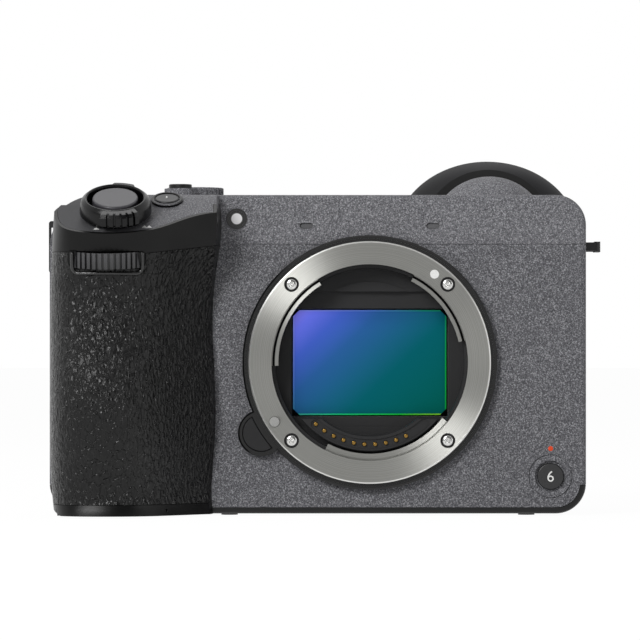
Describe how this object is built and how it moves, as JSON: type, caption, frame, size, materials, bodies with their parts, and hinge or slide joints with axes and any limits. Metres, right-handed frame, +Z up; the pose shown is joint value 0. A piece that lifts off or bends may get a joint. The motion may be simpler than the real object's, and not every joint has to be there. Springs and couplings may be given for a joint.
{
  "type": "mirrorless camera",
  "caption": "Compact camera body with an open lens mount, a deep leather-covered grip, a tilting viewfinder, a swing-out monitor and a hot shoe.",
  "frame": {"origin": "mouth of the tripod socket, under the lens axis", "axes": "+Z up, the lens mount looks along -Y, +X towards the monitor hinge end"},
  "size_m": [0.1346, 0.1051, 0.0888],
  "materials": {
    "body_paint": "fine matt grey paint",
    "dark_metal": "satin black paint",
    "grip_rubber": "pebbled leatherette",
    "grip_plastic": "satin black",
    "black_plastic": "fine matt black",
    "ring_steel": "turned face",
    "screw_steel": "bright",
    "grey_metal": "anodised grey",
    "gold": "gold plated",
    "sensor_silicon": "dark silicon under glass",
    "filter_glass": "coated blue glass",
    "clear_glass": "coated glass",
    "screen_glass": "black glass",
    "lamp_lens": "pale diffuser",
    "board_green": "printed board",
    "cell_plastic": "moulded case",
    "soft_rubber": "matt",
    "chassis_metal": "cast"
  },
  "bodies": {
    "body": {"front_cover": "body_paint", "top_cover": "body_paint", "rear_cover": "black_plastic", "bottom_plate": "dark_metal", "grip_core": "grip_plastic", "grip_skin": "grip_rubber", "chassis": "chassis_metal", "mount_collar": "body_paint", "mount_ring": "ring_steel", "mount_screws": "screw_steel", "throat_baffle": "black_plastic", "contact_block": "black_plastic", "contact_pins": "gold", "shutter_frame": "dark_metal", "main_board": "board_green", "battery": "cell_plastic", "card_slots": "screw_steel", "socket_block": "black_plastic", "thread_bushes": "grey_metal", "housing_screws": "screw_steel", "strap_lugs": "grey_metal", "hot_shoe": "screw_steel", "focus_lamp": "lamp_lens", "finder_bracket": "grey_metal"},
    "front_blade": {"shutter_blade_front": "dark_metal"},
    "rear_blade": {"shutter_blade_rear": "dark_metal"},
    "carriage": {"stabiliser_carriage": "chassis_metal"},
    "sensor": {"sensor_stage": "chassis_metal", "image_sensor": "sensor_silicon", "sensor_filter": "filter_glass", "sensor_mask": "black_plastic"},
    "release": {"lens_release_button": "body_paint"},
    "pin": {"lock_pin": "screw_steel"},
    "shutter_key": {"shutter_button": "grey_metal"},
    "lever": {"zoom_lever": "black_plastic"},
    "front_wheel": {"front_dial": "black_plastic"},
    "rear_wheel": {"rear_dial": "black_plastic"},
    "top_wheel": {"top_dial": "grey_metal"},
    "grip_key": {"grip_button": "black_plastic"},
    "record_key": {"record_button": "black_plastic"},
    "front_key": {"front_button": "black_plastic"},
    "menu_key": {"menu_button": "black_plastic"},
    "focus_key": {"focus_button": "black_plastic"},
    "play_key": {"play_button": "black_plastic"},
    "centre_key": {"centre_button": "black_plastic"},
    "ring_wheel": {"control_wheel": "black_plastic"},
    "stick": {"joystick": "black_plastic"},
    "finder": {"finder_barrel": "body_paint", "eyepiece_frame": "black_plastic", "eyepiece_lens": "clear_glass", "eyecup": "soft_rubber"},
    "diopter": {"diopter_wheel": "black_plastic"},
    "monitor": {"monitor_housing": "black_plastic", "monitor_glass": "screen_glass", "monitor_arm": "dark_metal"},
    "battery_lid": {"battery_door": "black_plastic"},
    "battery_catch": {"battery_latch": "black_plastic"},
    "card_lid": {"card_door": "black_plastic"},
    "upper_socket_lid": {"socket_door_upper": "black_plastic"},
    "lower_socket_lid": {"socket_door_lower": "black_plastic"}
  },
  "joints": [
    {"name": "front_blade_lift", "type": "slide", "parent": "body", "child": "front_blade", "axis": [0, 0, 1], "range_m": [0, 0.0276]},
    {"name": "rear_blade_lift", "type": "slide", "parent": "body", "child": "rear_blade", "axis": [0, 0, 1], "range_m": [0, 0.0138]},
    {"name": "sensor_shift_x", "type": "slide", "parent": "body", "child": "carriage", "axis": [1, 0, 0], "range_m": [-0.0015, 0.0015]},
    {"name": "sensor_shift_z", "type": "slide", "parent": "carriage", "child": "sensor", "axis": [0, 0, 1], "range_m": [-0.0015, 0.0015]},
    {"name": "release_press", "type": "slide", "parent": "body", "child": "release", "axis": [0, 1, 0], "range_m": [0, 0.0015], "stiffness_N_per_m": 400, "springref_m": -0.001},
    {"name": "pin_follow", "type": "slide", "parent": "body", "child": "pin", "axis": [0, 1, 0], "range_m": [0, 0.0015]},
    {"name": "shutter_press", "type": "slide", "parent": "body", "child": "shutter_key", "axis": [0, 0.4695, -0.8829], "range_m": [0, 0.001], "stiffness_N_per_m": 300, "springref_m": -0.001},
    {"name": "zoom_turn", "type": "hinge", "parent": "body", "child": "lever", "pos_m": [-0.0604, -0.0362, 0.07177], "axis": [0, -0.4695, 0.8829], "range_deg": [-20, 20], "stiffness_Nm_per_rad": 0.02},
    {"name": "front_dial_turn", "type": "hinge", "parent": "body", "child": "front_wheel", "pos_m": [-0.0623, -0.0346, 0.0621], "axis": [0, -0.14, 0.9901], "continuous": true},
    {"name": "rear_dial_turn", "type": "hinge", "parent": "body", "child": "rear_wheel", "pos_m": [-0.062, 0.0115, 0.0717], "axis": [0, 0, 1], "continuous": true},
    {"name": "top_dial_turn", "type": "hinge", "parent": "body", "child": "top_wheel", "pos_m": [-0.0431, 0.006, 0.0774], "axis": [0, 0, 1], "continuous": true},
    {"name": "grip_button_press", "type": "slide", "parent": "body", "child": "grip_key", "axis": [0, 0.3878, -0.9218], "range_m": [0, 0.0007], "stiffness_N_per_m": 300, "springref_m": -0.001},
    {"name": "record_button_press", "type": "slide", "parent": "body", "child": "record_key", "axis": [0, 0, -1], "range_m": [0, 0.0007], "stiffness_N_per_m": 300, "springref_m": -0.001},
    {"name": "front_button_press", "type": "slide", "parent": "body", "child": "front_key", "axis": [0, 1, 0], "range_m": [0, 0.0007], "stiffness_N_per_m": 300, "springref_m": -0.001},
    {"name": "menu_button_press", "type": "slide", "parent": "body", "child": "menu_key", "axis": [0, -1, 0], "range_m": [0, 0.0007], "stiffness_N_per_m": 300, "springref_m": -0.001},
    {"name": "focus_button_press", "type": "slide", "parent": "body", "child": "focus_key", "axis": [0, -1, 0], "range_m": [0, 0.0007], "stiffness_N_per_m": 300, "springref_m": -0.001},
    {"name": "play_button_press", "type": "slide", "parent": "body", "child": "play_key", "axis": [0, -1, 0], "range_m": [0, 0.0007], "stiffness_N_per_m": 300, "springref_m": -0.001},
    {"name": "centre_button_press", "type": "slide", "parent": "body", "child": "centre_key", "axis": [0, -1, 0], "range_m": [0, 0.0007], "stiffness_N_per_m": 300, "springref_m": -0.001},
    {"name": "control_wheel_turn", "type": "hinge", "parent": "body", "child": "ring_wheel", "pos_m": [-0.053, 0.019, 0.027], "axis": [0, 1, 0], "continuous": true},
    {"name": "joystick_tilt", "type": "hinge", "parent": "body", "child": "stick", "pos_m": [-0.0405, 0.0158, 0.056], "axis": [1, 0, 0], "range_deg": [-8, 8], "stiffness_Nm_per_rad": 0.02},
    {"name": "finder_tilt", "type": "hinge", "parent": "body", "child": "finder", "pos_m": [0.0303, 0.0344, 0.069], "axis": [1, 0, 0], "range_deg": [0, 90]},
    {"name": "diopter_turn", "type": "hinge", "parent": "finder", "child": "diopter", "pos_m": [0.012, 0.0475, 0.069], "axis": [-1, 0, 0], "range_deg": [-150, 150]},
    {"name": "monitor_swing", "type": "hinge", "parent": "body", "child": "monitor", "pos_m": [0.0496, 0.0199, 0.0285], "axis": [0, 0, -1], "range_deg": [0, 176]},
    {"name": "battery_door_open", "type": "hinge", "parent": "body", "child": "battery_lid", "pos_m": [-0.0615, 0.0082, 0.0012], "axis": [1, 0, 0], "range_deg": [0, 95]},
    {"name": "battery_latch_slide", "type": "slide", "parent": "battery_lid", "child": "battery_catch", "axis": [1, 0, 0], "range_m": [0, 0.0025]},
    {"name": "card_door_open", "type": "hinge", "parent": "body", "child": "card_lid", "pos_m": [-0.07655, 0.0155, 0.036], "axis": [0, 0, -1], "range_deg": [0, 95]},
    {"name": "upper_socket_door_open", "type": "hinge", "parent": "body", "child": "upper_socket_lid", "pos_m": [0.0515, 0.0015, 0.0465], "axis": [0, 0, -1], "range_deg": [0, 95]},
    {"name": "lower_socket_door_open", "type": "hinge", "parent": "body", "child": "lower_socket_lid", "pos_m": [0.0515, 0.0015, 0.0235], "axis": [0, 0, -1], "range_deg": [0, 95]}
  ],
  "couplings": [
    {"joint": "rear_blade_lift", "follows": "front_blade_lift", "ratio": 0.5},
    {"joint": "pin_follow", "follows": "release_press", "ratio": 1}
  ]
}
